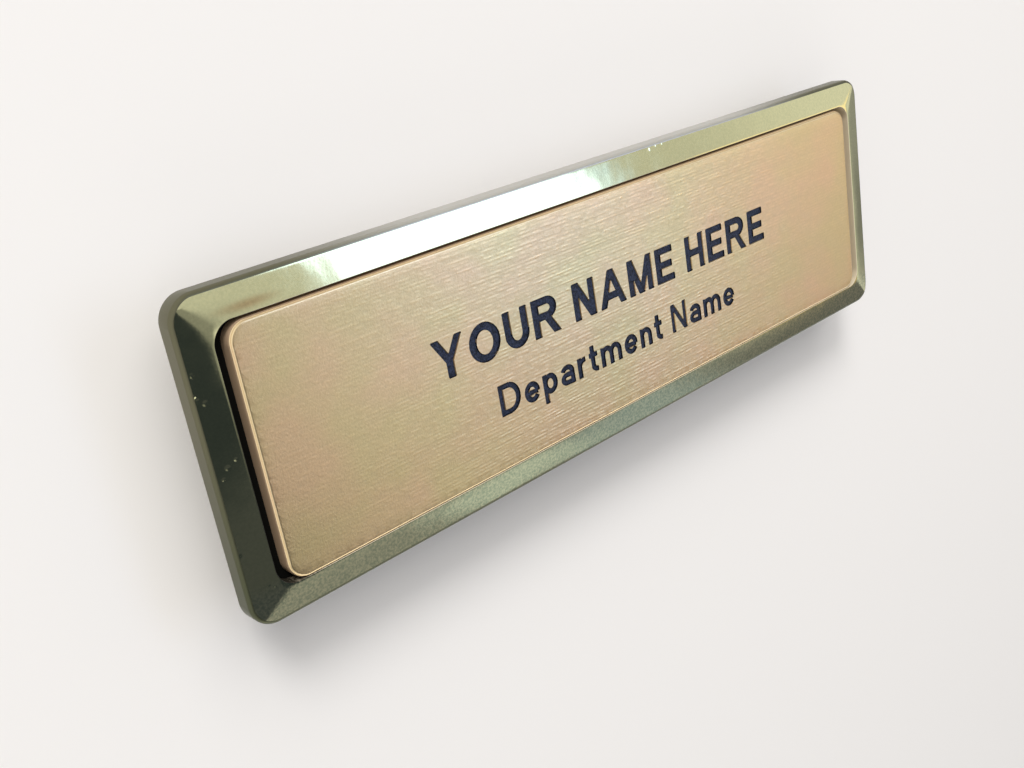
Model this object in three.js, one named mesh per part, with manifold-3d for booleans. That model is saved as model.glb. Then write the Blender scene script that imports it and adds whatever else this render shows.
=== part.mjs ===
// Framed name badge, lying face up: an engraved brushed plate in a sloped metal frame, with a fastening bar behind.
// Millimetres. +X runs along the badge, +Y is the top of its lettering, +Z leaves its face.
// The origin is under the badge's middle, on the surface that its fastening bar lies on.
import * as THREE from 'three';
import { mergeVertices } from 'three/addons/utils/BufferGeometryUtils.js';
import Module from 'manifold-3d';

const wasm = await Module();
wasm.setup();

// Name plate
const PLATE_LENGTH = 72.5;
const PLATE_WIDTH = 19.05;
const PLATE_THICKNESS = 1.25;
const PLATE_CORNER_RADIUS = 1.5;
const PLATE_EDGE_BEVEL = 0.2;

// Frame around the plate
const SLOPE_WIDTH = 2.4;
const SLOPE_RISE = 0.4;
const OUTER_WALL_HEIGHT = 1.68;
const FRAME_CORNER_RADIUS = 2.0;
const OUTER_EDGE_CHAMFER = 0.25;
const BACK_EDGE_CHAMFER = 0.15;
const MOUTH_CHAMFER = 0.12;
const FACE_ABOVE_SLOPE = 0.12;

// Clearances between the plate and the walls of its recess
const END_GAP = 0.95;
const SIDE_GAP = 0.13;

// How far the plate has settled towards the recess's lower side
const PLATE_DROP = 0.1;

// Fastening bar on the back
const CLASP_LENGTH = 45;
const CLASP_WIDTH = 13;
const CLASP_THICKNESS = 4.5;
const CLASP_CORNER_RADIUS = 2.5;
const CLASP_EDGE_CHAMFER = 0.6;

// Engraving
const ENGRAVING_DEPTH = 0.24;
const FILLING_THICKNESS = 0.14;
const FILLING_CLEARANCE = 0.03;

// How far a straight stroke runs into the curve that it continues in
const STROKE_LAP = 0.08;

// Curve quality
const CORNER_STEPS = 8;
const LETTER_STEPS_PER_QUARTER = 6;

// Lettering. Heights, strokes and spacing are lengths; glyph widths below are shares of the capital height.
const LINES = [
  {
    name: 'line_1',
    text: 'YOUR NAME HERE',
    baseline: -0.15,
    capitalHeight: 3.15,
    xHeight: 2.2,
    descender: 0.8,
    stem: 0.7,
    bar: 0.56,
    letterGap: 0.54,
    wordGap: 1.8,
  },
  {
    name: 'line_2',
    text: 'Department Name',
    baseline: -5.05,
    capitalHeight: 2.55,
    xHeight: 1.7,
    descender: 0.72,
    stem: 0.44,
    bar: 0.38,
    letterGap: 0.48,
    wordGap: 1.45,
  },
];

// Sizes that follow from the ones above
const RECESS_LENGTH = PLATE_LENGTH + 2 * END_GAP;
const RECESS_WIDTH = PLATE_WIDTH + 2 * SIDE_GAP;
const RECESS_CORNER_RADIUS = PLATE_CORNER_RADIUS + SIDE_GAP;
const FRAME_LENGTH = RECESS_LENGTH + 2 * SLOPE_WIDTH;
const FRAME_WIDTH = RECESS_WIDTH + 2 * SLOPE_WIDTH;
const FRAME_BACK_Z = CLASP_THICKNESS;
const RIDGE_Z = FRAME_BACK_Z + OUTER_WALL_HEIGHT;
const SLOPE_TOP_Z = RIDGE_Z + SLOPE_RISE;
const FACE_Z = SLOPE_TOP_Z + FACE_ABOVE_SLOPE;
const RECESS_FLOOR_Z = FACE_Z - PLATE_THICKNESS;
const ENGRAVED_FLOOR_Z = FACE_Z - ENGRAVING_DEPTH;

// Outlines

function roundedRectangle(length, width, radius, steps) {
  const points = [];
  const corners = [
    { x: 1, y: 1, start: 0 },
    { x: -1, y: 1, start: Math.PI / 2 },
    { x: -1, y: -1, start: Math.PI },
    { x: 1, y: -1, start: 1.5 * Math.PI },
  ];
  for (const corner of corners) {
    const centreX = corner.x * (length / 2 - radius);
    const centreY = corner.y * (width / 2 - radius);
    for (let step = 0; step <= steps; step += 1) {
      const angle = corner.start + (step / steps) * (Math.PI / 2);
      points.push(new THREE.Vector2(centreX + radius * Math.cos(angle), centreY + radius * Math.sin(angle)));
    }
  }
  return points;
}

// The same outline moved inward by a distance; a negative distance moves it outward.
function insetRectangle(length, width, radius, inset) {
  return roundedRectangle(length - 2 * inset, width - 2 * inset, Math.max(radius - inset, 0.01), CORNER_STEPS);
}

function sharpRectangle(length, width) {
  const x = length / 2;
  const y = width / 2;
  return [new THREE.Vector2(x, y), new THREE.Vector2(-x, y), new THREE.Vector2(-x, -y), new THREE.Vector2(x, -y)];
}

// Solids

function solidFromTriangles(positions, indices) {
  const geometry = new THREE.BufferGeometry();
  geometry.setAttribute('position', new THREE.Float32BufferAttribute(positions, 3));
  geometry.setIndex(indices);
  return solidFromGeometry(geometry);
}

function solidFromGeometry(geometry) {
  const bare = geometry.clone();
  bare.deleteAttribute('normal');
  bare.deleteAttribute('uv');
  const merged = mergeVertices(bare, 1e-5);
  return new wasm.Manifold(new wasm.Mesh({
    numProp: 3,
    vertProperties: new Float32Array(merged.attributes.position.array),
    triVerts: new Uint32Array(merged.index.array),
  }));
}

// A closed body through outlines with the same number of points, one above the other.
function loft(levels) {
  const count = levels[0].outline.length;
  const positions = [];
  for (const level of levels) {
    for (const point of level.outline) {
      positions.push(point.x, point.y, level.z);
    }
  }
  const indices = [];
  for (let level = 0; level < levels.length - 1; level += 1) {
    for (let point = 0; point < count; point += 1) {
      const next = (point + 1) % count;
      const low = level * count;
      const high = low + count;
      indices.push(low + point, low + next, high + next);
      indices.push(low + point, high + next, high + point);
    }
  }
  const top = (levels.length - 1) * count;
  for (const [a, b, c] of THREE.ShapeUtils.triangulateShape(levels[0].outline, [])) {
    indices.push(a, c, b);
  }
  for (const [a, b, c] of THREE.ShapeUtils.triangulateShape(levels[levels.length - 1].outline, [])) {
    indices.push(top + a, top + b, top + c);
  }
  return solidFromTriangles(positions, indices);
}

function extrude(outline, holes, bottom, top) {
  const shape = new THREE.Shape(outline);
  for (const hole of holes) {
    shape.holes.push(new THREE.Path(hole));
  }
  const geometry = new THREE.ExtrudeGeometry(shape, { depth: top - bottom, bevelEnabled: false, curveSegments: 1 });
  const position = geometry.attributes.position;
  for (let vertex = 0; vertex < position.count; vertex += 1) {
    position.setZ(vertex, position.getZ(vertex) > 0 ? top : bottom);
  }
  return solidFromGeometry(geometry);
}

function join(solids) {
  return solids.reduce((joined, solid) => joined.add(solid));
}

function addMesh(group, name, solid, material) {
  const mesh = solid.getMesh();
  const geometry = new THREE.BufferGeometry();
  geometry.setAttribute('position', new THREE.Float32BufferAttribute(mesh.vertProperties, 3));
  geometry.setIndex(Array.from(mesh.triVerts));
  geometry.computeVertexNormals();
  const piece = new THREE.Mesh(geometry, material);
  piece.name = name;
  group.add(piece);
}

// Strokes of the lettering. Each is a flat shape with its lower left corner at the glyph's origin,
// and "grow" widens it on all sides, or narrows it when negative.

function ellipseArc(centreX, centreY, radiusX, radiusY, startDegrees, endDegrees) {
  const sweep = endDegrees - startDegrees;
  const steps = Math.ceil((Math.abs(sweep) / 90) * LETTER_STEPS_PER_QUARTER);
  const points = [];
  for (let step = 0; step <= steps; step += 1) {
    const angle = THREE.MathUtils.degToRad(startDegrees + (sweep * step) / steps);
    points.push(new THREE.Vector2(centreX + radiusX * Math.cos(angle), centreY + radiusY * Math.sin(angle)));
  }
  return points;
}

function box(left, bottom, right, top) {
  return (grow) => ({
    outline: [
      new THREE.Vector2(left - grow, bottom - grow),
      new THREE.Vector2(right + grow, bottom - grow),
      new THREE.Vector2(right + grow, top + grow),
      new THREE.Vector2(left - grow, top + grow),
    ],
    holes: [],
  });
}

// A leaning stroke with level ends: its left edge runs from leftBelow to leftAbove.
function slant(leftBelow, leftAbove, bottom, top, width) {
  return (grow) => {
    const lean = (leftAbove - leftBelow) / (top - bottom);
    const side = grow * Math.hypot(1, lean);
    const xBelow = leftBelow - grow * lean;
    const xAbove = leftAbove + grow * lean;
    return {
      outline: [
        new THREE.Vector2(xBelow - side, bottom - grow),
        new THREE.Vector2(xBelow + width + side, bottom - grow),
        new THREE.Vector2(xAbove + width + side, top + grow),
        new THREE.Vector2(xAbove - side, top + grow),
      ],
      holes: [],
    };
  };
}

function arc(g, centreX, centreY, radiusX, radiusY, start, end) {
  return (grow) => {
    const outer = ellipseArc(centreX, centreY, radiusX + grow, radiusY + grow, start, end);
    const inner = ellipseArc(centreX, centreY, radiusX - g.stem - grow, radiusY - g.bar - grow, end, start);
    return { outline: [...outer, ...inner], holes: [] };
  };
}

function ring(g, centreX, centreY, radiusX, radiusY) {
  return (grow) => {
    const outer = ellipseArc(centreX, centreY, radiusX + grow, radiusY + grow, 0, 360);
    const inner = ellipseArc(centreX, centreY, radiusX - g.stem - grow, radiusY - g.bar - grow, 360, 0);
    outer.pop();
    inner.pop();
    return { outline: outer, holes: [inner] };
  };
}

// An arch standing on nothing: a half ring on two legs, used by the round-shouldered letters.
function arch(g, left, right, top) {
  const radiusY = 0.45 * g.x;
  const centreX = (left + right) / 2;
  return [
    arc(g, centreX, top - radiusY, (right - left) / 2, radiusY, 0, 180),
    box(right - g.stem, 0, right, top - radiusY + g.lap),
  ];
}

// Each glyph has its width as a share of the capital height, and its strokes.
// In the strokes, w is that width, h the capital height and x the height of a small letter.
const GLYPHS = {
  A: {
    width: 1.02,
    strokes: (g) => [
      slant(0, (g.w - g.stem) / 2, 0, g.h, g.stem),
      slant(g.w - g.stem, (g.w - g.stem) / 2, 0, g.h, g.stem),
      box(0.22 * g.w, 0.2 * g.h, 0.78 * g.w, 0.2 * g.h + g.bar),
    ],
  },
  D: {
    width: 0.86,
    strokes: (g) => [
      box(0, 0, g.stem, g.h),
      box(0, g.h - g.bar, 0.5 * g.w, g.h),
      box(0, 0, 0.5 * g.w, g.bar),
      arc(g, 0.45 * g.w, g.h / 2, 0.55 * g.w, g.h / 2, -90, 90),
    ],
  },
  E: {
    width: 0.76,
    strokes: (g) => [
      box(0, 0, g.stem, g.h),
      box(0, g.h - g.bar, 0.97 * g.w, g.h),
      box(0, (g.h - g.bar) / 2, 0.9 * g.w, (g.h + g.bar) / 2),
      box(0, 0, g.w, g.bar),
    ],
  },
  H: {
    width: 0.82,
    strokes: (g) => [
      box(0, 0, g.stem, g.h),
      box(g.w - g.stem, 0, g.w, g.h),
      box(0, (g.h - g.bar) / 2, g.w, (g.h + g.bar) / 2),
    ],
  },
  M: {
    width: 1.0,
    strokes: (g) => [
      box(0, 0, g.stem, g.h),
      box(g.w - g.stem, 0, g.w, g.h),
      slant((g.w - g.stem) / 2, 0, 0, g.h, g.stem),
      slant((g.w - g.stem) / 2, g.w - g.stem, 0, g.h, g.stem),
    ],
  },
  N: {
    width: 0.82,
    strokes: (g) => [
      box(0, 0, g.stem, g.h),
      box(g.w - g.stem, 0, g.w, g.h),
      slant(g.w - 1.1 * g.stem, 0, 0, g.h, 1.1 * g.stem),
    ],
  },
  O: {
    width: 1.0,
    strokes: (g) => [ring(g, g.w / 2, g.h / 2, g.w / 2, g.h / 2)],
  },
  R: {
    width: 0.92,
    strokes: (g) => [
      box(0, 0, g.stem, g.h),
      box(0, g.h - g.bar, 0.6 * g.w, g.h),
      box(0, 0.42 * g.h, 0.6 * g.w, 0.42 * g.h + g.bar),
      arc(g, 0.56 * g.w, 0.71 * g.h, 0.38 * g.w, 0.29 * g.h, -90, 90),
      slant(g.w - 1.1 * g.stem, 0.4 * g.w, 0, 0.5 * g.h, 1.1 * g.stem),
    ],
  },
  U: {
    width: 0.82,
    strokes: (g) => [
      arc(g, g.w / 2, 0.4 * g.h, g.w / 2, 0.4 * g.h, 180, 360),
      box(0, 0.4 * g.h - g.lap, g.stem, g.h),
      box(g.w - g.stem, 0.4 * g.h - g.lap, g.w, g.h),
    ],
  },
  Y: {
    width: 0.96,
    strokes: (g) => [
      box((g.w - g.stem) / 2, 0, (g.w + g.stem) / 2, 0.46 * g.h),
      slant((g.w - g.stem) / 2, 0, 0.4 * g.h, g.h, g.stem),
      slant((g.w - g.stem) / 2, g.w - g.stem, 0.4 * g.h, g.h, g.stem),
    ],
  },
  a: {
    width: 0.62,
    strokes: (g) => [
      arc(g, g.w / 2, 0.6 * g.x, g.w / 2, 0.4 * g.x, 0, 155),
      box(g.w - g.stem, 0, g.w, 0.6 * g.x + g.lap),
      arc(g, 0.42 * g.w, 0.31 * g.x, 0.42 * g.w, 0.31 * g.x, 90, 270),
      box(0.4 * g.w, 0.62 * g.x - g.bar, g.w - g.stem / 2, 0.62 * g.x),
      box(0.4 * g.w, 0, g.w - g.stem / 2, g.bar),
    ],
  },
  e: {
    width: 0.64,
    strokes: (g) => [
      arc(g, g.w / 2, g.x / 2, g.w / 2, g.x / 2, -2, 325),
      box(g.stem / 2, (g.x - g.bar) / 2 - 0.03 * g.x, g.w - g.stem / 2, (g.x + g.bar) / 2 - 0.03 * g.x),
    ],
  },
  m: {
    width: 1.0,
    strokes: (g) => [
      box(0, 0, g.stem, g.x),
      ...arch(g, 0, (g.w + g.stem) / 2, g.x),
      ...arch(g, (g.w - g.stem) / 2, g.w, g.x),
    ],
  },
  n: {
    width: 0.58,
    strokes: (g) => [box(0, 0, g.stem, g.x), ...arch(g, 0, g.w, g.x)],
  },
  p: {
    width: 0.62,
    strokes: (g) => [box(0, -g.descender, g.stem, g.x), ring(g, g.w / 2, g.x / 2, g.w / 2, g.x / 2)],
  },
  r: {
    width: 0.38,
    strokes: (g) => [box(0, 0, g.stem, g.x), arc(g, g.w, 0.55 * g.x, g.w, 0.45 * g.x, 92, 180)],
  },
  t: {
    width: 0.38,
    strokes: (g) => [
      box(0.2 * g.w, 0.3 * g.x - g.lap, 0.2 * g.w + g.stem, 0.9 * g.h),
      arc(g, g.w, 0.3 * g.x, 0.8 * g.w, 0.3 * g.x, 180, 268),
      box(0, g.x - g.bar, g.w, g.x),
    ],
  },
};

// Where each letter of a line stands, with the line centred on the plate.
function layOut(line) {
  const letters = [];
  let cursor = 0;
  for (const character of line.text) {
    if (character === ' ') {
      cursor += line.wordGap - line.letterGap;
    } else {
      const width = GLYPHS[character].width * line.capitalHeight;
      letters.push({ character, left: cursor, width });
      cursor += width + line.letterGap;
    }
  }
  const half = (cursor - line.letterGap) / 2;
  return letters.map((letter) => ({ ...letter, left: letter.left - half }));
}

function glyphSolid(line, letter, grow, bottom, top) {
  const measures = {
    w: letter.width,
    h: line.capitalHeight,
    x: line.xHeight,
    descender: line.descender,
    stem: line.stem,
    bar: line.bar,
    lap: STROKE_LAP,
  };
  const strokes = GLYPHS[letter.character].strokes(measures).map((stroke) => {
    const { outline, holes } = stroke(grow);
    return extrude(outline, holes, bottom, top);
  });
  return join(strokes).translate([letter.left, line.baseline - PLATE_DROP, 0]);
}

// Frame: a wall with rounded corners, trimmed on top by four slopes that meet in mitres, with the plate's recess.
function makeFrame() {
  const wallOutline = (inset) => insetRectangle(FRAME_LENGTH, FRAME_WIDTH, FRAME_CORNER_RADIUS, inset);
  const chamferReach = 2 * OUTER_EDGE_CHAMFER;
  const wall = loft([
    { z: FRAME_BACK_Z, outline: wallOutline(BACK_EDGE_CHAMFER) },
    { z: FRAME_BACK_Z + BACK_EDGE_CHAMFER, outline: wallOutline(0) },
    { z: RIDGE_Z - OUTER_EDGE_CHAMFER, outline: wallOutline(0) },
    { z: RIDGE_Z - OUTER_EDGE_CHAMFER + chamferReach, outline: wallOutline(chamferReach) },
    { z: FACE_Z, outline: wallOutline(chamferReach) },
  ]);
  const overhang = FRAME_CORNER_RADIUS;
  const steepness = SLOPE_RISE / SLOPE_WIDTH;
  const slopeOutline = (inset) => sharpRectangle(FRAME_LENGTH - 2 * inset, FRAME_WIDTH - 2 * inset);
  const slopes = loft([
    { z: FRAME_BACK_Z - overhang, outline: slopeOutline(-overhang) },
    { z: RIDGE_Z - overhang * steepness, outline: slopeOutline(-overhang) },
    { z: SLOPE_TOP_Z, outline: slopeOutline(SLOPE_WIDTH) },
  ]);
  const recessOutline = (inset) => insetRectangle(RECESS_LENGTH, RECESS_WIDTH, RECESS_CORNER_RADIUS, inset);
  const recess = loft([
    { z: RECESS_FLOOR_Z, outline: recessOutline(0) },
    { z: SLOPE_TOP_Z - MOUTH_CHAMFER, outline: recessOutline(0) },
    { z: SLOPE_TOP_Z + MOUTH_CHAMFER, outline: recessOutline(-2 * MOUTH_CHAMFER) },
  ]);
  return wall.intersect(slopes).subtract(recess);
}

function makePlate(letterCuts) {
  const outline = (inset) => insetRectangle(PLATE_LENGTH, PLATE_WIDTH, PLATE_CORNER_RADIUS, inset);
  const blank = loft([
    { z: RECESS_FLOOR_Z, outline: outline(0) },
    { z: FACE_Z - PLATE_EDGE_BEVEL, outline: outline(0) },
    { z: FACE_Z, outline: outline(PLATE_EDGE_BEVEL) },
  ]);
  return blank.translate([0, -PLATE_DROP, 0]).subtract(join(letterCuts));
}

function makeClasp() {
  const outline = (inset) => insetRectangle(CLASP_LENGTH, CLASP_WIDTH, CLASP_CORNER_RADIUS, inset);
  return loft([
    { z: 0, outline: outline(CLASP_EDGE_CHAMFER) },
    { z: CLASP_EDGE_CHAMFER, outline: outline(0) },
    { z: CLASP_THICKNESS, outline: outline(0) },
  ]);
}

const frameMaterial = new THREE.MeshStandardMaterial({ color: 0xcfc9a0, metalness: 1, roughness: 0.12 });
const plateMaterial = new THREE.MeshStandardMaterial({ color: 0xd6bd8e, metalness: 1, roughness: 0.38 });
const fillingMaterial = new THREE.MeshStandardMaterial({ color: 0x232a3a, metalness: 0, roughness: 0.6 });
const claspMaterial = new THREE.MeshStandardMaterial({ color: 0x2b2b2d, metalness: 0, roughness: 0.45 });

const badge = new THREE.Group();
badge.name = 'name_badge';

addMesh(badge, 'frame', makeFrame(), frameMaterial);

const cutTop = FACE_Z + ENGRAVING_DEPTH;
const fillingTop = ENGRAVED_FLOOR_Z + FILLING_THICKNESS;
const letterCuts = [];
for (const line of LINES) {
  layOut(line).forEach((letter, index) => {
    letterCuts.push(glyphSolid(line, letter, 0, ENGRAVED_FLOOR_Z, cutTop));
    const filling = glyphSolid(line, letter, -FILLING_CLEARANCE, ENGRAVED_FLOOR_Z, fillingTop);
    const number = String(index + 1).padStart(2, '0');
    addMesh(badge, `${line.name}_letter_${number}`, filling, fillingMaterial);
  });
}
addMesh(badge, 'plate', makePlate(letterCuts), plateMaterial);
addMesh(badge, 'clasp', makeClasp(), claspMaterial);

export default badge;
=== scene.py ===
"""Looks of the framed name badge: fine shapes, finishes, floor, light and camera around its solids."""
import math

import bmesh
import bpy
from mathutils import Matrix, Vector


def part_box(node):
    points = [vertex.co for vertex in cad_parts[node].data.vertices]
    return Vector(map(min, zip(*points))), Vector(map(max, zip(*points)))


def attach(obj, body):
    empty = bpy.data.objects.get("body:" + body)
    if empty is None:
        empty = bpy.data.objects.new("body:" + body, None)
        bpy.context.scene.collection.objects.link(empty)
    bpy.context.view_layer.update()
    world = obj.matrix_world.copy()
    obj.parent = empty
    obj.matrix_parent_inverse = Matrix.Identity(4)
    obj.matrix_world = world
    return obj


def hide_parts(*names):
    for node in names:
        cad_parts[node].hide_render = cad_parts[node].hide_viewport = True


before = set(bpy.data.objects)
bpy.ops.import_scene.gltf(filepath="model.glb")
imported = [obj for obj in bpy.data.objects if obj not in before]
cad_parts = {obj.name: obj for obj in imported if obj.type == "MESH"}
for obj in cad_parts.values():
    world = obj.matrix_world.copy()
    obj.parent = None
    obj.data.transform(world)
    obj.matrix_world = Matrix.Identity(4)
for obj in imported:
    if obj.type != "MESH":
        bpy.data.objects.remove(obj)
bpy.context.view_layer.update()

# Shapes are made in millimetres, and a finished piece is scaled to metres once.
MM = 0.001


def box_in_mm(node):
    low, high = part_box(node)
    return low / MM, high / MM


FRAME_LOW, FRAME_HIGH = box_in_mm("frame")
PLATE_LOW, PLATE_HIGH = box_in_mm("plate")
CLASP_LOW, CLASP_HIGH = box_in_mm("clasp")

# Frame: a straight outer wall, a softly crowned slope that rises inward, and the recess for the plate
FRAME_LENGTH = FRAME_HIGH.x - FRAME_LOW.x
FRAME_WIDTH = FRAME_HIGH.y - FRAME_LOW.y
SLOPE_WIDTH = 2.4
SLOPE_RISE = 0.4
SLOPE_CROWN = 0.015
FRAME_CORNER_RADIUS = 2.0
RECESS_CORNER_RADIUS = 1.63
RIDGE_Z = FRAME_HIGH.z - SLOPE_RISE
RIDGE_FILLET = 0.35
MOUTH_FILLET = 0.03
BACK_FILLET = 0.2
MITRE_SOFTNESS_OUTSIDE = 0.3
MITRE_SOFTNESS_INSIDE = 0.6

# Plate: rounded corners, a rolled top edge and the engraved letters
FACE_Z = PLATE_HIGH.z
PLATE_LENGTH = PLATE_HIGH.x - PLATE_LOW.x
PLATE_WIDTH = PLATE_HIGH.y - PLATE_LOW.y
PLATE_CENTRE_Y = (PLATE_HIGH.y + PLATE_LOW.y) / 2
PLATE_CORNER_RADIUS = 1.5
PLATE_EDGE_ROLL = 0.3
FACE_CELL = 0.9
BARE_MARGIN = 1.0
ENGRAVING_DEPTH = 0.24
ENGRAVED_RIM = 0.035
PAINT_BELOW_FACE = 0.12
STROKE_CORNER = 0.09
STROKE_CORNER_STEPS = 4
SHARPEST_BEND_IN_A_CURVE = math.radians(35)
SMALLEST_BEND = math.radians(1)
SMALLEST_STEP = 0.02

# Fastening bar behind the frame
CLASP_CORNER_RADIUS = 2.5
CLASP_EDGE_ROLL = 0.6

# Fineness of the meshes, how near two places are the same one, and how strongly flat faces stay flat
CORNER_SEGMENTS = 41
LONG_SIDE_CUTS = 60
SHORT_SIDE_CUTS = 16
FILLET_STEPS = 6
SLOPE_STEPS = 14
WELD = 0.0005
SAME_PLACE = 0.001
SAME_HEIGHT = 0.01
LEVEL_NORMAL = 0.9
FLATNESS_WEIGHT = 80

# Material slots of the frame and of the plate
POLISHED, DULL, MILLED, BEDDED = range(4)
BRUSHED, SHEARED, ENAMELLED, HIGHLIGHT_BAND = range(4)

# Finishes of the frame's bands, from the back: the fillet, wall and ridge, then the slope, then the recess
FRAME_FINISHES = [DULL] * (2 * FILLET_STEPS + 1) + [POLISHED] * SLOPE_STEPS + [MILLED] * (FILLET_STEPS + 1)

# Finishes of the plate's side wall and of the bands of its rolled edge, from the bottom up. The paler bands
# are painted highlight lines
PLATE_FINISHES = [SHEARED] * 3 + [HIGHLIGHT_BAND, BRUSHED] * 2


# Meshes

def add_ring(bm, length, width, radius, height):
    """A rounded rectangle: the four quarters of a circle pushed apart. Its height is a number or a function
    of x and y."""
    before = set(bm.edges)
    segments = 4 * CORNER_SEGMENTS
    half_step = Matrix.Rotation(math.pi / segments, 4, "Z")
    verts = bmesh.ops.create_circle(bm, segments=segments, radius=radius, matrix=half_step)["verts"]
    for side_x in (-1, 1):
        for side_y in (-1, 1):
            quarter = [v for v in verts if v.co.x * side_x > 0 and v.co.y * side_y > 0]
            push = Vector((side_x * (length / 2 - radius), side_y * (width / 2 - radius), 0))
            bmesh.ops.translate(bm, verts=quarter, vec=push)
    nearly_a_side = 0.9 * (width - 2 * radius)
    sides = [e for e in bm.edges if e not in before and e.calc_length() > nearly_a_side]
    for edge in sides:
        along = edge.verts[0].co - edge.verts[1].co
        cuts = LONG_SIDE_CUTS if abs(along.x) > abs(along.y) else SHORT_SIDE_CUTS
        bmesh.ops.subdivide_edges(bm, edges=[edge], cuts=cuts)
    ring = [e for e in bm.edges if e not in before]
    for vert in {v for e in ring for v in e.verts}:
        vert.co.z = height(vert.co.x, vert.co.y) if callable(height) else height
    return ring


def loft(rings_wanted, centre_y=0.0):
    """A closed body through rings of (length, width, radius, height), its bands of faces and both ends."""
    bm = bmesh.new()
    rings = [add_ring(bm, *wanted) for wanted in rings_wanted]
    bands = []
    for low, high in zip(rings, rings[1:]):
        bands.append(bmesh.ops.bridge_loops(bm, edges=low + high)["faces"])
    ends = [bmesh.ops.contextual_create(bm, geom=ring)["faces"][0] for ring in (rings[0], rings[-1])]
    bmesh.ops.translate(bm, verts=bm.verts, vec=(0, centre_y, 0))
    bmesh.ops.recalc_face_normals(bm, faces=bm.faces)
    return bm, bands, ends


def set_finishes(bands, finishes):
    for band, finish in zip(bands, finishes):
        for face in band:
            face.material_index = finish


def finish_piece(bm, name, node, materials, sharp_degrees=40):
    """Turns millimetres into metres and stands the piece in for its solid."""
    bmesh.ops.scale(bm, vec=(MM, MM, MM), verts=bm.verts)
    mesh = bpy.data.meshes.new(name)
    for edge in bm.edges:
        edge.smooth = not (edge.is_manifold and edge.calc_face_angle() > math.radians(sharp_degrees))
    for face in bm.faces:
        face.smooth = True
    bm.to_mesh(mesh)
    bm.free()
    for material in materials:
        mesh.materials.append(material)
    piece = bpy.data.objects.new(name, mesh)
    bpy.context.scene.collection.objects.link(piece)
    weighted = piece.modifiers.new("flat_faces_stay_flat", "WEIGHTED_NORMAL")
    weighted.keep_sharp = True
    weighted.weight = FLATNESS_WEIGHT
    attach(piece, "root")
    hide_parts(node)
    return piece


def as_object(bm, name):
    mesh = bpy.data.meshes.new(name)
    bm.to_mesh(mesh)
    bm.free()
    made = bpy.data.objects.new(name, mesh)
    bpy.context.scene.collection.objects.link(made)
    return made


def slope_height(x, y, back=0.0):
    """Height of the frame's slope, read further out by the distance back. Slopes meet in soft mitres."""
    along = FRAME_LENGTH / 2 - abs(x) - back
    across = FRAME_WIDTH / 2 - abs(y) - back
    nearness = min(max(min(along, across) / SLOPE_WIDTH, 0), 1)
    widening = (MITRE_SOFTNESS_INSIDE - MITRE_SOFTNESS_OUTSIDE) * nearness ** 2
    inward = (along + across - math.hypot(along - across, MITRE_SOFTNESS_OUTSIDE + widening)) / 2
    share = min(inward / SLOPE_WIDTH, 1)
    return RIDGE_Z + SLOPE_RISE * share + 4 * SLOPE_CROWN * share * (1 - share)


def frame_ring(inset, radius, height):
    return FRAME_LENGTH - 2 * inset, FRAME_WIDTH - 2 * inset, radius, height


def slope_ring(inset, radius, back, lift):
    return frame_ring(inset, radius, lambda x, y: slope_height(x, y, back) + lift)


def frame_rings():
    """The frame's outlines from its back, round the wall and over the slope, to the recess's floor."""
    tilt = math.atan(SLOPE_RISE / SLOPE_WIDTH)
    rings = []
    for step in range(FILLET_STEPS + 1):
        angle = step / FILLET_STEPS * math.pi / 2
        inset = BACK_FILLET * (1 - math.sin(angle))
        height = FRAME_LOW.z + BACK_FILLET * (1 - math.cos(angle))
        rings.append(frame_ring(inset, FRAME_CORNER_RADIUS - inset, height))
    tangent = RIDGE_FILLET * (1 - math.sin(tilt))
    for step in range(FILLET_STEPS + 1):
        angle = step / FILLET_STEPS * (math.pi / 2 - tilt)
        inset = RIDGE_FILLET * (1 - math.cos(angle))
        lift = RIDGE_FILLET * (math.sin(angle) - math.cos(tilt))
        rings.append(slope_ring(inset, FRAME_CORNER_RADIUS - inset, inset - tangent, lift))
    foot = SLOPE_WIDTH - MOUTH_FILLET * (1 + math.sin(tilt))
    foot_radius = RECESS_CORNER_RADIUS + SLOPE_WIDTH - foot
    for step in range(1, SLOPE_STEPS):
        share = step / SLOPE_STEPS
        inset = tangent + (foot - tangent) * share
        radius = (FRAME_CORNER_RADIUS - tangent) * (1 - share) + foot_radius * share
        rings.append(slope_ring(inset, radius, 0, 0))
    for step in range(FILLET_STEPS + 1):
        angle = (math.pi / 2 + tilt) * (1 - step / FILLET_STEPS)
        inset = SLOPE_WIDTH - MOUTH_FILLET + MOUTH_FILLET * math.cos(angle)
        lift = MOUTH_FILLET * (math.sin(angle) - math.cos(tilt))
        rings.append(slope_ring(inset, RECESS_CORNER_RADIUS + SLOPE_WIDTH - inset, inset - foot, lift))
    rings.append(frame_ring(SLOPE_WIDTH, RECESS_CORNER_RADIUS, PLATE_LOW.z))
    return rings


def make_frame(materials):
    bm, bands, (back, recess_floor) = loft(frame_rings())
    set_finishes(bands, FRAME_FINISHES)
    back.material_index = DULL
    recess_floor.material_index = BEDDED
    return finish_piece(bm, "frame_polished", "frame", materials)


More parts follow.
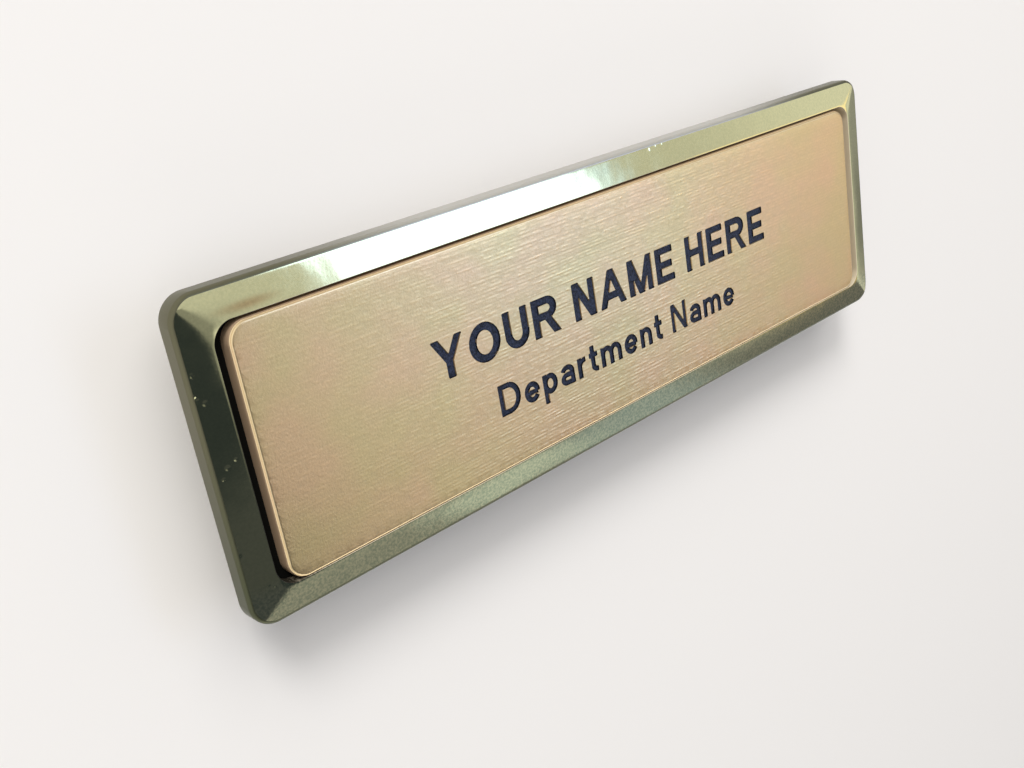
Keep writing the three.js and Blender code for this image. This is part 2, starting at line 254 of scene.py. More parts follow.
def letter_shape(node_name):
    """The flat outline of one letter, taken from the floor of its cut in the plate's solid."""
    low, high = box_in_mm(node_name)
    bm = bmesh.new()
    bm.from_mesh(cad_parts["plate"].data)
    bmesh.ops.scale(bm, vec=(1 / MM, 1 / MM, 1 / MM), verts=bm.verts)
    bmesh.ops.remove_doubles(bm, verts=bm.verts, dist=WELD)
    bm.normal_update()
    rest = [f for f in bm.faces if not is_cut_floor(f, low, high)]
    bmesh.ops.delete(bm, geom=rest, context="FACES")
    bmesh.ops.remove_doubles(bm, verts=bm.verts, dist=SMALLEST_STEP)
    bmesh.ops.dissolve_degenerate(bm, edges=bm.edges, dist=SAME_PLACE)
    bmesh.ops.dissolve_limit(bm, angle_limit=SMALLEST_BEND, verts=bm.verts, edges=bm.edges)
    bmesh.ops.recalc_face_normals(bm, faces=bm.faces)
    return bm


def is_cut_floor(face, low, high):
    """True for a level face at the height of the filling's underside and within its outline's box."""
    centre = face.calc_center_median()
    within = low.x < centre.x < high.x and low.y < centre.y < high.y
    return within and abs(centre.z - low.z) < SAME_HEIGHT and abs(face.normal.z) >= LEVEL_NORMAL


def stand_up(bm, bottom, top):
    """Extrudes a flat outline to a solid between two heights, rounds the corners of its strokes and gives
    its top faces."""
    for vert in bm.verts:
        vert.co.z = bottom
    made = bmesh.ops.extrude_face_region(bm, geom=bm.faces[:], use_keep_orig=True)["geom"]
    raised = [g for g in made if isinstance(g, bmesh.types.BMVert)]
    bmesh.ops.translate(bm, verts=raised, vec=(0, 0, top - bottom))
    bmesh.ops.recalc_face_normals(bm, faces=bm.faces)
    corners = [e for e in bm.edges if is_stroke_corner(e)]
    bmesh.ops.bevel(bm, geom=corners, offset=STROKE_CORNER, offset_type="OFFSET", affect="EDGES",
                    segments=STROKE_CORNER_STEPS, profile=0.5, material=-1, clamp_overlap=True)
    return [f for f in bm.faces if all(v.co.z > top - SAME_PLACE for v in f.verts)]


def is_stroke_corner(edge):
    upright = abs(edge.verts[0].co.z - edge.verts[1].co.z) > SAME_HEIGHT
    return upright and edge.is_manifold and edge.calc_face_angle() > SHARPEST_BEND_IN_A_CURVE


def cutter_for(node_name):
    """A letter-shaped cutter whose mouth flares, so that the cut gets an eased rim."""
    bm = letter_shape(node_name)
    top = stand_up(bm, FACE_Z - ENGRAVING_DEPTH, FACE_Z - ENGRAVED_RIM)
    flare = 2 * ENGRAVED_RIM
    bmesh.ops.inset_region(bm, faces=top, thickness=flare, depth=flare, use_outset=True)
    return bm


def all_cutters(letters):
    """The cutters of all letters as one object."""
    together = bmesh.new()
    for node_name in letters:
        one = cutter_for(node_name)
        mesh = bpy.data.meshes.new("one_cutter")
        one.to_mesh(mesh)
        one.free()
        together.from_mesh(mesh)
        bpy.data.meshes.remove(mesh)
    bmesh.ops.recalc_face_normals(together, faces=together.faces)
    return as_object(together, "letter_cutters")


def divide_face(bm, height, extent, across):
    """Cuts the faces at a height into strips, so that no face has a whole letter inside it."""
    strips = math.ceil(extent / FACE_CELL)
    for strip in range(1, strips):
        flat = [f for f in bm.faces if all(abs(v.co.z - height) < SAME_PLACE for v in f.verts)]
        around = {v for f in flat for v in f.verts} | {e for f in flat for e in f.edges}
        place = across * (strip / strips - 0.5) * extent
        bmesh.ops.bisect_plane(bm, geom=flat + list(around), plane_co=place, plane_no=across)


def plate_ring(inset, height):
    return PLATE_LENGTH - 2 * inset, PLATE_WIDTH - 2 * inset, PLATE_CORNER_RADIUS - inset, height


def plate_blank():
    """The plate before engraving: a sheared side, a rolled edge, and a face divided into cells."""
    rings = [plate_ring(0, PLATE_LOW.z)]
    for step in range(FILLET_STEPS + 1):
        angle = step / FILLET_STEPS * math.pi / 2
        inset = PLATE_EDGE_ROLL * (1 - math.cos(angle))
        rings.append(plate_ring(inset, FACE_Z - PLATE_EDGE_ROLL * (1 - math.sin(angle))))
    bm, bands, _ = loft(rings, PLATE_CENTRE_Y)
    set_finishes(bands, PLATE_FINISHES)
    divide_face(bm, FACE_Z, PLATE_LENGTH, Vector((1, 0, 0)))
    divide_face(bm, FACE_Z, PLATE_WIDTH, Vector((0, 1, 0)))
    return as_object(bm, "plate_blank")


def in_a_letter(point):
    """True on the walls and the floor of a cut, below its eased rim and away from the plate's own edge."""
    along = abs(point.x) < PLATE_LENGTH / 2 - BARE_MARGIN
    across = abs(point.y - PLATE_CENTRE_Y) < PLATE_WIDTH / 2 - BARE_MARGIN
    cut_floor = FACE_Z - ENGRAVING_DEPTH
    return along and across and cut_floor - SAME_HEIGHT < point.z < FACE_Z - ENGRAVED_RIM


def make_plate(letters, materials):
    blank = plate_blank()
    cutter = all_cutters(letters)
    cut = blank.modifiers.new("engraving", "BOOLEAN")
    cut.operation = "DIFFERENCE"
    cut.solver = "MANIFOLD"
    cut.object = cutter
    evaluated = blank.evaluated_get(bpy.context.evaluated_depsgraph_get())
    bm = bmesh.new()
    bm.from_mesh(evaluated.to_mesh())
    # The cuts' walls take the darker enamel: enamel, made darker still as painted shade that outlines the
    # letters
    for face in bm.faces:
        if in_a_letter(face.calc_center_median()):
            face.material_index = ENAMELLED
    for spent in (blank, cutter):
        mesh = spent.data
        bpy.data.objects.remove(spent)
        bpy.data.meshes.remove(mesh)
    return finish_piece(bm, "plate_brushed", "plate", materials)


def make_paint(node_name, materials):
    """The paint in one engraved letter, which fills the cut nearly to its rim."""
    bm = letter_shape(node_name)
    stand_up(bm, FACE_Z - ENGRAVING_DEPTH, FACE_Z - PAINT_BELOW_FACE)
    bmesh.ops.triangulate(bm, faces=bm.faces, quad_method="BEAUTY", ngon_method="EAR_CLIP")
    return finish_piece(bm, node_name + "_paint", node_name, materials, sharp_degrees=60)


def make_clasp(materials):
    length = CLASP_HIGH.x - CLASP_LOW.x
    width = CLASP_HIGH.y - CLASP_LOW.y
    rings = []
    for step in range(FILLET_STEPS + 1):
        angle = step / FILLET_STEPS * math.pi / 2
        inset = CLASP_EDGE_ROLL * (1 - math.sin(angle))
        height = CLASP_LOW.z + CLASP_EDGE_ROLL * (1 - math.cos(angle))
        rings.append((length - 2 * inset, width - 2 * inset, CLASP_CORNER_RADIUS - inset, height))
    rings.append((length, width, CLASP_CORNER_RADIUS, CLASP_HIGH.z))
    bm, _, _ = loft(rings)
    return finish_piece(bm, "clasp_bar", "clasp", materials)


# Materials. Places and depths are in millimetres, and a noise's scale is its blotches per millimetre

# Pits in the frame's polish, as x, y and radius, and the middle and the half lengths of the brown stain
PITS = (
    (-39.05, 6.92, 0.3), (-39.3, 5.55, 0.2), (-39.15, 5.2, 0.26), (-38.7, 4.9, 0.32), (-37.8, 0.6, 0.18),
    (-38.45, 0.2, 0.27), (-38.9, -0.45, 0.18), (-39.3, -5.9, 0.33), (-37.9, -8.8, 0.24), (-37.5, -9.1, 0.18),
    (6.2, 11.55, 0.22), (7.1, 11.72, 0.16), (7.95, 11.7, 0.14),
)
STAIN_CENTRE = (-34.2, 10.25)
STAIN_REACH = (3.4, 0.55)

# Where on Y the lacquer's peel starts to coarsen and is coarsest, and where painted shade darkens the
# frame's edge
COARSE_PEEL = (-8.6, -9.8)
PAINTED_SHADE_SIDE = (4.0, -9.0)

# Where on X, to either side of the middle, a painted dark reflection darkens the frame's edge and the
# brushing gets faint
PAINTED_DARK_ENDS = (16.0, 33.0)
WORN_BRUSHING = (10.0, 30.0)

# Where on X the recess bed's painted shade gives way to brown metal, and how far blotches shift the change
# along a matt side
BED_SHADE_FADES = (-35.0, -31.0)
BLOTCH_SHIFT = 4.0

# Depths of the surfaces' textures
PEEL_DEPTH = 0.012
COARSE_PEEL_DEPTH = 0.0035
PIT_DEPTH = 0.014
EDGE_GRAIN_DEPTH = 0.006
ARRIS_WEAR_DEPTH = 0.01
BRUSHING_DEPTH = 0.012
PAINT_GRAIN_DEPTH = 0.04
CLASP_GRAIN_DEPTH = 0.05

# Brushing: the width of a row, how far it strays, the length of a dash, and how far apart in the noise the
# dashes of two rows are read
BRUSH_ROW = 0.3
ROW_STRAYS = 0.8
BRUSH_DASH = 0.8
ROWS_APART = 7.3

# Scales on X, Y and Z of the rows' straying, which bends them over 25 mm, and of the long lines
STRAYING_SCALE = (0.04, 0.2, 1.0)
LONG_LINE_SCALE = (0.12, 5.0, 1.0)

# Heights of the dashes and the speckle against the long lines, and the means of brushing and speckle
DASH_HEIGHT = 1.5
SPECKLE_HEIGHT = 0.9
BRUSHING_MEAN = 0.69
SPECKLE_MEAN = 0.45

# What a swing of 1 above the mean adds to brightness and roughness, and what they are at the mean
SWING_BRIGHTENS = 0.26
MEAN_BRIGHTNESS = 0.955
SWING_ROUGHENS = -0.08
MEAN_ROUGHNESS = 0.32


def linear(hex_colour):
    """An sRGB hex colour as Blender's linear values."""
    channels = [int(hex_colour[place:place + 2], 16) / 255 for place in (1, 3, 5)]
    return [c / 12.92 if c <= 0.04045 else ((c + 0.055) / 1.055) ** 2.4 for c in channels] + [1.0]


def add(tree, kind, inputs=None, **settings):
    """Adds a node with its settings; an input is a value or the output that feeds it."""
    node = tree.nodes.new(kind)
    for name, value in settings.items():
        setattr(node, name, value)
    for socket, value in (inputs or {}).items():
        if isinstance(value, bpy.types.NodeSocket):
            tree.links.new(value, node.inputs[socket])
        else:
            node.inputs[socket].default_value = value
    return node


def start_material(name):
    """A material with its shader, and the object's own coordinates in millimetres."""
    material = bpy.data.materials.new(name)
    material.use_nodes = True
    tree = material.node_tree
    shader = tree.nodes["Principled BSDF"]
    coordinates = add(tree, "ShaderNodeTexCoord")
    millimetres = add(tree, "ShaderNodeMapping", {"Vector": coordinates.outputs["Object"],
                                                  "Scale": (1 / MM,) * 3})
    return material, tree, shader, millimetres.outputs["Vector"]


def spot(tree, place, centre, reach):
    """1 in the middle of an oval spot on the XY plane and 0 outside it."""
    moved = add(tree, "ShaderNodeVectorMath", {0: place, 1: (centre[0], centre[1], 0)}, operation="SUBTRACT")
    scaled = add(tree, "ShaderNodeVectorMath",
                 {0: moved.outputs["Vector"], 1: (1 / reach[0], 1 / reach[1], 0)}, operation="MULTIPLY")
    distance = add(tree, "ShaderNodeVectorMath", {0: scaled.outputs["Vector"]}, operation="LENGTH")
    inside = add(tree, "ShaderNodeMapRange",
                 {"Value": distance.outputs["Value"], "To Min": 1.0, "To Max": 0.0},
                 interpolation_type="SMOOTHSTEP")
    return inside.outputs["Result"]


def polished_brass():
    """Cast brass, polished and lacquered: a mirror with a pale yellow-green tint, some pits and a brown
    stain. The lacquer has run together on the lower long slope, where its peel is coarse and mottles the
    metal."""
    material, tree, shader, place = start_material("polished_lacquered_brass")
    shader.inputs["Metallic"].default_value = 1.0
    stain = spot(tree, place, STAIN_CENTRE, STAIN_REACH)
    colour = add(tree, "ShaderNodeMix", {"Factor": stain, "A": linear("#E7E5B4"), "B": linear("#C3A878")},
                 data_type="RGBA")
    parts = add(tree, "ShaderNodeSeparateXYZ", {"Vector": place})
    coarse = add(tree, "ShaderNodeMapRange",
                 {"Value": parts.outputs["Y"], "From Min": COARSE_PEEL[0], "From Max": COARSE_PEEL[1],
                  "To Min": 0.2, "To Max": 1.0})
    grain = add(tree, "ShaderNodeTexNoise", {"Vector": place, "Scale": 5.0, "Detail": 2.0})
    blotch = add(tree, "ShaderNodeMapRange",
                 {"Value": grain.outputs["Fac"], "From Min": 0.35, "From Max": 0.65})
    mottled = add(tree, "ShaderNodeMix",
                  {"Factor": blotch.outputs["Result"], "A": linear("#C8D0AC"), "B": linear("#F4F2C6")},
                  data_type="RGBA")
    blotched = add(tree, "ShaderNodeMix",
                   {"Factor": coarse.outputs["Result"], "A": colour.outputs["Result"],
                    "B": mottled.outputs["Result"]}, data_type="RGBA")
    tree.links.new(blotched.outputs["Result"], shader.inputs["Base Color"])
    cloud = add(tree, "ShaderNodeTexNoise", {"Vector": place, "Scale": 0.5, "Detail": 3.0, "Roughness": 0.6})
    rough = add(tree, "ShaderNodeMapRange",
                {"Value": cloud.outputs["Fac"], "From Min": 0.3, "From Max": 0.7,
                 "To Min": 0.05, "To Max": 0.1})
    tree.links.new(rough.outputs["Result"], shader.inputs["Roughness"])
    peel = add(tree, "ShaderNodeTexNoise", {"Vector": place, "Scale": 0.45, "Detail": 1.0})
    normal = add(tree, "ShaderNodeBump",
                 {"Height": peel.outputs["Fac"], "Strength": 1.0, "Distance": PEEL_DEPTH * MM})
    normal = add(tree, "ShaderNodeBump",
                 {"Height": grain.outputs["Fac"], "Strength": coarse.outputs["Result"],
                  "Distance": COARSE_PEEL_DEPTH * MM, "Normal": normal.outputs["Normal"]})
    for x, y, radius in PITS:
        pit = spot(tree, place, (x, y), (radius, radius))
        normal = add(tree, "ShaderNodeBump",
                     {"Height": pit, "Strength": 1.0, "Distance": PIT_DEPTH * MM,
                      "Normal": normal.outputs["Normal"]}, invert=True)
    tree.links.new(normal.outputs["Normal"], shader.inputs["Normal"])
    return material


def dull_edge_with_painted_shade():
    """The frame's outer edge, buffed less than the slopes: dull, with a painted dark reflection towards both
    ends and painted shade towards the lower long side.
    """
    material, tree, shader, place = start_material("dull_edge_with_painted_shade")
    shader.inputs["Metallic"].default_value = 1.0
    shader.inputs["Roughness"].default_value = 0.38
    parts = add(tree, "ShaderNodeSeparateXYZ", {"Vector": place})
    from_middle = add(tree, "ShaderNodeMath", {0: parts.outputs["X"]}, operation="ABSOLUTE")
    # Painted dark reflection: the edge's colour gets darker towards both ends
    stain = add(tree, "ShaderNodeMapRange",
                {"Value": from_middle.outputs["Value"], "From Min": PAINTED_DARK_ENDS[0],
                 "From Max": PAINTED_DARK_ENDS[1]}, interpolation_type="SMOOTHSTEP")
    colour = add(tree, "ShaderNodeMix",
                 {"Factor": stain.outputs["Result"], "A": linear("#CAC8C0"), "B": linear("#706E59")},
                 data_type="RGBA")
    # Painted shade: the edge's colour gets darker towards the lower long side
    painted_shade_low_side = add(tree, "ShaderNodeMapRange",
                   {"Value": parts.outputs["Y"], "From Min": PAINTED_SHADE_SIDE[0], "From Max": PAINTED_SHADE_SIDE[1]})
    darker = add(tree, "ShaderNodeMix",
                 {"Factor": painted_shade_low_side.outputs["Result"], "A": colour.outputs["Result"],
                  "B": linear("#595C48")}, data_type="RGBA")
    tree.links.new(darker.outputs["Result"], shader.inputs["Base Color"])
    grain = add(tree, "ShaderNodeTexNoise", {"Vector": place, "Scale": 4.0, "Detail": 3.0})
    bump = add(tree, "ShaderNodeBump",
               {"Height": grain.outputs["Fac"], "Strength": 1.0, "Distance": EDGE_GRAIN_DEPTH * MM})
    tree.links.new(bump.outputs["Normal"], shader.inputs["Normal"])
    return material


def matt_brass_side(name, left, right, first, last):
    """A side that was cut and never polished: oxidised brown, matt, with only a weak metal sheen. The
    colours change from the first to the last place on X, and a near-black left colour is painted shade."""
    material, tree, shader, place = start_material(name)
    shader.inputs["Metallic"].default_value = 0.25
    shader.inputs["Roughness"].default_value = 0.6
    parts = add(tree, "ShaderNodeSeparateXYZ", {"Vector": place})
    marks = add(tree, "ShaderNodeTexNoise", {"Vector": place, "Scale": 5.0, "Detail": 2.0})
    blotched = add(tree, "ShaderNodeMath",
                   {0: marks.outputs["Fac"], 1: BLOTCH_SHIFT, 2: parts.outputs["X"]},
                   operation="MULTIPLY_ADD")
    along = add(tree, "ShaderNodeMapRange",
                {"Value": blotched.outputs["Value"], "From Min": first, "From Max": last})
    colour = add(tree, "ShaderNodeMix",
                 {"Factor": along.outputs["Result"], "A": linear(left), "B": linear(right)},
                 data_type="RGBA")
    tree.links.new(colour.outputs["Result"], shader.inputs["Base Color"])
    return material


def arris_with_painted_highlight():
    """The arris bands of the plate's rolled edge, paler and smoother than the brushed face: their paler
    colour is a painted highlight, which draws bright lines along the edge."""
    material, tree, shader, place = start_material("brass_arris_painted_highlight")
    shader.inputs["Metallic"].default_value = 1.0
    # Painted highlight: paler than the brushed face, for the bright lines along the plate's edge
    shader.inputs["Base Color"].default_value = linear("#FAE3B8")
    shader.inputs["Roughness"].default_value = 0.28
    wear = add(tree, "ShaderNodeTexNoise", {"Vector": place, "Scale": 1.5, "Detail": 2.0})
    bump = add(tree, "ShaderNodeBump",
               {"Height": wear.outputs["Fac"], "Strength": 1.0, "Distance": ARRIS_WEAR_DEPTH * MM})
    tree.links.new(bump.outputs["Normal"], shader.inputs["Normal"])
    return material


def recess_bed_with_painted_shade():
    """The recess's floor under the plate: brown metal, painted near black at the left end as painted shade
    for the dark gap there."""
    material, tree, shader, place = start_material("recess_bed_painted_shade")
    parts = add(tree, "ShaderNodeSeparateXYZ", {"Vector": place})
    # Painted shade: the bed is near black at the plate's left end
    bare = add(tree, "ShaderNodeMapRange",
               {"Value": parts.outputs["X"], "From Min": BED_SHADE_FADES[0], "From Max": BED_SHADE_FADES[1]})
    colour = add(tree, "ShaderNodeMix",
                 {"Factor": bare.outputs["Result"], "A": linear("#0E0E0C"), "B": linear("#8C7A5E")},
                 data_type="RGBA")
    tree.links.new(colour.outputs["Result"], shader.inputs["Base Color"])
    shader.inputs["Roughness"].default_value = 0.8
    shader.inputs["Specular IOR Level"].default_value = 0.1
    return material


def brushed_brass():
    """Satin brass strip under clear lacquer, brushed along its length: parallel rows broken into short
    dashes, worn faint towards both ends. The rows are drawn coarser than a real brush's, as far apart as the
    eye sees them."""
    material, tree, shader, place = start_material("satin_brushed_brass")
    shader.inputs["Metallic"].default_value = 1.0
    shader.inputs["Coat Weight"].default_value = 0.4
    shader.inputs["Coat Roughness"].default_value = 0.22
    parts = add(tree, "ShaderNodeSeparateXYZ", {"Vector": place})

    # Rows that wander a little across the plate, each with its own dashes
    drift = add(tree, "ShaderNodeMapping", {"Vector": place, "Scale": STRAYING_SCALE})
    wander = add(tree, "ShaderNodeTexNoise",
                 {"Vector": drift.outputs["Vector"], "Scale": 1.0, "Detail": 1.0})
    across = add(tree, "ShaderNodeMath", {0: wander.outputs["Fac"], 1: ROW_STRAYS, 2: parts.outputs["Y"]},
                 operation="MULTIPLY_ADD")
    row = add(tree, "ShaderNodeMath", {0: across.outputs["Value"], 1: 1 / BRUSH_ROW}, operation="MULTIPLY")
    row_number = add(tree, "ShaderNodeMath", {0: row.outputs["Value"]}, operation="FLOOR")
    in_row = add(tree, "ShaderNodeMath", {0: row.outputs["Value"], 1: 0.5}, operation="PINGPONG")
    dash_place = add(tree, "ShaderNodeCombineXYZ",
                     {"X": parts.outputs["X"], "Y": row_number.outputs["Value"]})
    dash_size = add(tree, "ShaderNodeMapping",
                    {"Vector": dash_place.outputs["Vector"], "Scale": (1 / BRUSH_DASH, ROWS_APART, 1.0)})
    dashes = add(tree, "ShaderNodeTexNoise",
                 {"Vector": dash_size.outputs["Vector"], "Scale": 1.0, "Detail": 3.0})
    dash = add(tree, "ShaderNodeMapRange",
               {"Value": dashes.outputs["Fac"], "From Min": 0.4, "From Max": 0.62})
    stroke = add(tree, "ShaderNodeMath", {0: dash.outputs["Result"], 1: in_row.outputs["Value"]},
                 operation="MULTIPLY")

    # Long fine lines added to the dashes, and all of it fainter towards the ends
    along = add(tree, "ShaderNodeMapping", {"Vector": place, "Scale": LONG_LINE_SCALE})
    lines = add(tree, "ShaderNodeTexNoise", {"Vector": along.outputs["Vector"], "Scale": 1.0, "Detail": 2.0})
    brushing = add(tree, "ShaderNodeMath",
                   {0: stroke.outputs["Value"], 1: DASH_HEIGHT, 2: lines.outputs["Fac"]},
                   operation="MULTIPLY_ADD")
    from_middle = add(tree, "ShaderNodeMath", {0: parts.outputs["X"]}, operation="ABSOLUTE")
    wear = add(tree, "ShaderNodeMapRange",
               {"Value": from_middle.outputs["Value"], "From Min": WORN_BRUSHING[0],
                "From Max": WORN_BRUSHING[1], "To Min": 1.0, "To Max": 0.3})
    brushed = add(tree, "ShaderNodeMath", {0: brushing.outputs["Value"], 1: wear.outputs["Result"]},
                  operation="MULTIPLY")

    # A speckle over the rows. The swing is the height of it all above its mean, and lightens the colour
    speckle = add(tree, "ShaderNodeTexNoise",
                  {"Vector": place, "Scale": 5.5, "Detail": 3.0, "Roughness": 0.7})
    height = add(tree, "ShaderNodeMath",
                 {0: speckle.outputs["Fac"], 1: SPECKLE_HEIGHT, 2: brushed.outputs["Value"]},
                 operation="MULTIPLY_ADD")
    mean = add(tree, "ShaderNodeMath", {0: wear.outputs["Result"], 1: BRUSHING_MEAN, 2: SPECKLE_MEAN},
               operation="MULTIPLY_ADD")
    swing = add(tree, "ShaderNodeMath", {0: height.outputs["Value"], 1: mean.outputs["Value"]},
                operation="SUBTRACT")
    light = add(tree, "ShaderNodeMath", {0: swing.outputs["Value"], 1: SWING_BRIGHTENS, 2: MEAN_BRIGHTNESS},
                operation="MULTIPLY_ADD")
    patches = add(tree, "ShaderNodeTexNoise", {"Vector": place, "Scale": 0.16, "Detail": 2.0})
    hue = add(tree, "ShaderNodeMapRange",
              {"Value": patches.outputs["Fac"], "From Min": 0.35, "From Max": 0.65})
    metal = add(tree, "ShaderNodeMix",
                {"Factor": hue.outputs["Result"], "A": linear("#E4CB96"), "B": linear("#ECC89B")},
                data_type="RGBA")
    shaded = add(tree, "ShaderNodeVectorMath",
                 {0: metal.outputs["Result"], "Scale": light.outputs["Value"]}, operation="SCALE")
    tree.links.new(shaded.outputs["Vector"], shader.inputs["Base Color"])
    rough = add(tree, "ShaderNodeMath", {0: swing.outputs["Value"], 1: SWING_ROUGHENS, 2: MEAN_ROUGHNESS},
                operation="MULTIPLY_ADD")
    tree.links.new(rough.outputs["Value"], shader.inputs["Roughness"])
    bump = add(tree, "ShaderNodeBump",
               {"Height": height.outputs["Value"], "Strength": 1.0, "Distance": BRUSHING_DEPTH * MM})
    tree.links.new(bump.outputs["Normal"], shader.inputs["Normal"])
    return material


def letter_paint(name, dark, light):
    """Navy-black enamel, brushed into the cuts and wiped: a satin skin with a grainy surface."""
    material, tree, shader, place = start_material(name)
    shader.inputs["Roughness"].default_value = 0.5
    shader.inputs["Specular IOR Level"].default_value = 0.25
    grain = add(tree, "ShaderNodeTexNoise", {"Vector": place, "Scale": 6.0, "Detail": 3.0, "Roughness": 0.7})
    spread = add(tree, "ShaderNodeMapRange",
                 {"Value": grain.outputs["Fac"], "From Min": 0.35, "From Max": 0.65})
    colour = add(tree, "ShaderNodeMix",
                 {"Factor": spread.outputs["Result"], "A": linear(dark), "B": linear(light)},
                 data_type="RGBA")
    tree.links.new(colour.outputs["Result"], shader.inputs["Base Color"])
    bump = add(tree, "ShaderNodeBump",
               {"Height": grain.outputs["Fac"], "Strength": 1.0, "Distance": PAINT_GRAIN_DEPTH * MM})
    tree.links.new(bump.outputs["Normal"], shader.inputs["Normal"])
    return material


def black_clasp_finish():
    """Moulded black ABS with a fine spark-eroded grain."""
    material, tree, shader, place = start_material("moulded_black_abs")
    grain = add(tree, "ShaderNodeTexNoise", {"Vector": place, "Scale": 8.0, "Detail": 2.0})
    colour = add(tree, "ShaderNodeMix",
                 {"Factor": grain.outputs["Fac"], "A": linear("#1E1F21"), "B": linear("#2B2C2F")},
                 data_type="RGBA")
    tree.links.new(colour.outputs["Result"], shader.inputs["Base Color"])
    shader.inputs["Roughness"].default_value = 0.45
    bump = add(tree, "ShaderNodeBump",
               {"Height": grain.outputs["Fac"], "Strength": 0.3, "Distance": CLASP_GRAIN_DEPTH * MM})
    tree.links.new(bump.outputs["Normal"], shader.inputs["Normal"])
    return material


# Camera: the photograph's view of the badge, rolled because here the badge lies on its back. The nearest
# and furthest it sees are in metres
CAMERA_PLACE = Vector((-65.41, 25.84, FACE_Z + 63.28))
CAMERA_AIM = Vector((-13.80, -2.875, FACE_Z))
CAMERA_ROLL = math.radians(102.0)
CAMERA_LENS = 38.11
CAMERA_SENSOR = 36
CAMERA_NEAREST = 1 * MM
CAMERA_FURTHEST = 100


def make_camera():
    data = bpy.data.cameras.new("camera")
    data.lens = CAMERA_LENS
    data.sensor_width = CAMERA_SENSOR
    data.clip_start = CAMERA_NEAREST
    data.clip_end = CAMERA_FURTHEST
    camera = bpy.data.objects.new("camera", data)
    bpy.context.scene.collection.objects.link(camera)
    turn = (CAMERA_AIM - CAMERA_PLACE).to_track_quat("-Z", "Y").to_matrix().to_4x4()
    roll = Matrix.Rotation(CAMERA_ROLL, 4, "Z")
    camera.matrix_world = Matrix.Translation(CAMERA_PLACE * MM) @ turn @ roll
    bpy.context.scene.camera = camera


# Light and floor. Directions are in degrees: azimuth from +X towards +Y, and elevation from the floor. The
# floor's reach is in metres
ROOM_ON_MATT = 0.65
ROOM_COLOUR = "#FFFDF8"
ROOM_BRIGHTNESS = 0.95
BACKDROP_COLOUR = "#F1EFEB"
FLOOR_COLOUR = "#F2EEEA"
FLOOR_REACH = 3

# Name, azimuth, elevation, distance and size in metres, and watts of each lamp
LAMPS = (
    ("key", 115, 30, 1.6, 0.5, 14.2),
    ("fill", 95, 38, 0.6, 0.5, 1.6),
)

# Name, left, right, bottom and top edge, softness of the edges, colour and brightness of each card. A
# later card hangs in front of those before it
CARDS = (
    ("wall, for the face and the upper slope", -30, 75, 20, 90, 14, "#FFFDFA", 0.6),
    ("its brighter foot, for the upper slope's right end", -14, 70, 26, 37, 8, "#FFFDFA", 0.77),
    ("warm wall, for the face's right half", -32, -8, 24, 37, 6, "#FFDDAC", 0.68),
    ("warm strip, for the face's upper right", -10, -1, 26, 40, 3, "#FFEBC8", 1.25),
    ("dark drape, for the left slope", -125, -48, 40, 90, 10, "#D6EBFF", 0.045),
    ("its greyer foot", -100, -62, 40, 68, 4, "#E8F0FF", 0.075),
    ("grey ceiling", -60, 8, 68, 90, 10, "#F2F2F0", 0.3),
    ("dim wall, for the lower slope", -75, -30, -5, 42, 10, "#FFFDFF", 0.27),
    ("bright skirting, for the plate's lower arris", -110, -24, -8, 13, 6, "#FFFDF6", 2.2),
    ("pale panel, for the lower slope's middle", -46, -36, 24, 33.5, 4, "#E2EEFF", 0.44),
    ("brighter panel beside it", -52, -43.5, 30, 37, 4, "#F4FBFF", 0.57),
    ("dark panel, for the lower slope's right end", -36, -20, 10, 26.5, 6, "#FFFAFF", 0.155),
    ("dim wall, for the right slope", -18, 30, -20, 16, 8, "#FAFAFF", 0.23),
    ("its paler side", -11, 10, 0, 16, 3, "#FAFAFF", 0.32),
    ("sky that hazes the middle of the face", -24, -11, 41, 51, 4, "#9CC8FF", 3.9),
    ("window sill", -16, 42, 44, 48, 1.4, "#C8DCFF", 1.1),
    ("window", -14, 42, 45.3, 59.8, 1.4, "#C8DCFF", 2.9),
)


def make_floor():
    material = bpy.data.materials.new("pale_floor")
    material.use_nodes = True
    shader = material.node_tree.nodes["Principled BSDF"]
    shader.inputs["Base Color"].default_value = linear(FLOOR_COLOUR)
    shader.inputs["Roughness"].default_value = 0.9
    shader.inputs["Specular IOR Level"].default_value = 0.1
    bm = bmesh.new()
    bmesh.ops.create_grid(bm, x_segments=1, y_segments=1, size=FLOOR_REACH)
    floor = as_object(bm, "floor")
    floor.data.materials.append(material)


def hang_lamp(name, azimuth, elevation, distance, size, power):
    """A round softbox for the floor and the shadow. The metal mirrors the cards and not the lamps."""
    data = bpy.data.lights.new(name, "AREA")
    data.shape = "DISK"
    data.size = size
    data.energy = power
    lamp = bpy.data.objects.new(name, data)
    bpy.context.scene.collection.objects.link(lamp)
    across, up = math.radians(azimuth), math.radians(elevation)
    away = Vector((math.cos(across) * math.cos(up), math.sin(across) * math.cos(up), math.sin(up)))
    lamp.location = away * distance
    lamp.rotation_euler = away.to_track_quat("Z", "Y").to_euler()
    lamp.visible_glossy = False


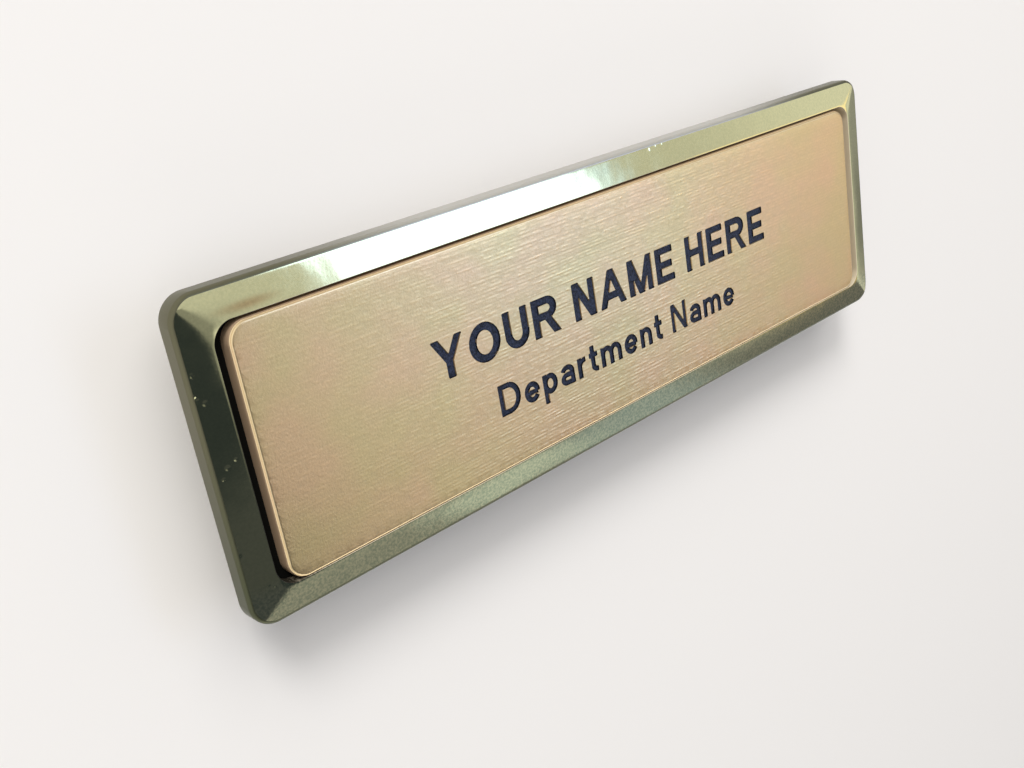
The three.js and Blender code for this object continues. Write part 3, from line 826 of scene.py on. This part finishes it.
def hang_card(tree, azimuth, elevation, behind, card):
    """Paints one soft-edged card of the studio over what is behind it."""
    name, left, right, bottom, top, edge, colour, brightness = card
    outside = []
    for angle, low, high in ((azimuth, left, right), (elevation, bottom, top)):
        offset = add(tree, "ShaderNodeMath", {0: angle, 1: (low + high) / 2}, operation="SUBTRACT")
        distance = add(tree, "ShaderNodeMath", {0: offset.outputs["Value"]}, operation="ABSOLUTE")
        over = add(tree, "ShaderNodeMath", {0: distance.outputs["Value"], 1: (high - low) / 2},
                   operation="SUBTRACT")
        outside.append(over.outputs["Value"])
    furthest = add(tree, "ShaderNodeMath", {0: outside[0], 1: outside[1]}, operation="MAXIMUM")
    mask = add(tree, "ShaderNodeMapRange",
               {"Value": furthest.outputs["Value"], "From Min": -edge / 2, "From Max": edge / 2,
                "To Min": 1.0, "To Max": 0.0}, interpolation_type="SMOOTHSTEP")
    light = [channel * brightness for channel in linear(colour)]
    mixed = add(tree, "ShaderNodeMix", {"Factor": mask.outputs["Result"], "A": behind, "B": light},
                data_type="RGBA", label=name)
    return mixed.outputs["Result"]


def make_studio():
    """The light room round the badge, as the metal mirrors it, and a pale backdrop for the camera."""
    world = bpy.data.worlds.new("studio")
    bpy.context.scene.world = world
    world.use_nodes = True
    tree = world.node_tree
    direction = add(tree, "ShaderNodeTexCoord")
    parts = add(tree, "ShaderNodeSeparateXYZ", {"Vector": direction.outputs["Generated"]})
    turn = add(tree, "ShaderNodeMath", {0: parts.outputs["Y"], 1: parts.outputs["X"]}, operation="ARCTAN2")
    azimuth = add(tree, "ShaderNodeMath", {0: turn.outputs["Value"]}, operation="DEGREES")
    rise = add(tree, "ShaderNodeMath", {0: parts.outputs["Z"]}, operation="ARCSINE")
    elevation = add(tree, "ShaderNodeMath", {0: rise.outputs["Value"]}, operation="DEGREES")
    seen = [channel * ROOM_BRIGHTNESS for channel in linear(ROOM_COLOUR)]
    for card in CARDS:
        seen = hang_card(tree, azimuth.outputs["Value"], elevation.outputs["Value"], seen, card)
    path = add(tree, "ShaderNodeLightPath")
    backdrop = add(tree, "ShaderNodeMix",
                   {"Factor": path.outputs["Is Camera Ray"], "A": seen, "B": linear(BACKDROP_COLOUR)},
                   data_type="RGBA")
    on_matt = add(tree, "ShaderNodeMapRange",
                  {"Value": path.outputs["Is Diffuse Ray"], "To Min": 1.0, "To Max": ROOM_ON_MATT})
    background = tree.nodes["Background"]
    tree.links.new(backdrop.outputs["Result"], background.inputs["Color"])
    tree.links.new(on_matt.outputs["Result"], background.inputs["Strength"])


scene = bpy.context.scene
scene.view_settings.view_transform = "Standard"
scene.view_settings.look = "None"
scene.cycles.use_denoising = True

make_camera()
make_floor()
make_studio()
for lamp in LAMPS:
    hang_lamp(*lamp)

LETTERS = sorted(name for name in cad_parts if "_letter_" in name)
# The milled wall is near black at its left end: painted shade for the dark gap beside the plate
milled_wall_shaded_left = matt_brass_side("milled_brass_wall_painted_shade", "#2A261E", "#DCD0B6", -34, -31)
sheared_side = matt_brass_side("sheared_brass_side", "#B2977A", "#C8AE8A", -20, 34)
# Enamel on the cuts' walls, darker than the paint in the cuts: painted shade for the letters' dark outlines
paint_on_walls_painted_shade = letter_paint("enamel_on_cut_walls_painted_shade", "#040508", "#0E1119")
paint = letter_paint("navy_black_enamel", "#070A11", "#313950")

# The materials stand in the order of the slots' names
make_frame([polished_brass(), dull_edge_with_painted_shade(), milled_wall_shaded_left, recess_bed_with_painted_shade()])
make_plate(LETTERS, [brushed_brass(), sheared_side, paint_on_walls_painted_shade, arris_with_painted_highlight()])
for letter in LETTERS:
    make_paint(letter, [paint])
make_clasp([black_clasp_finish()])
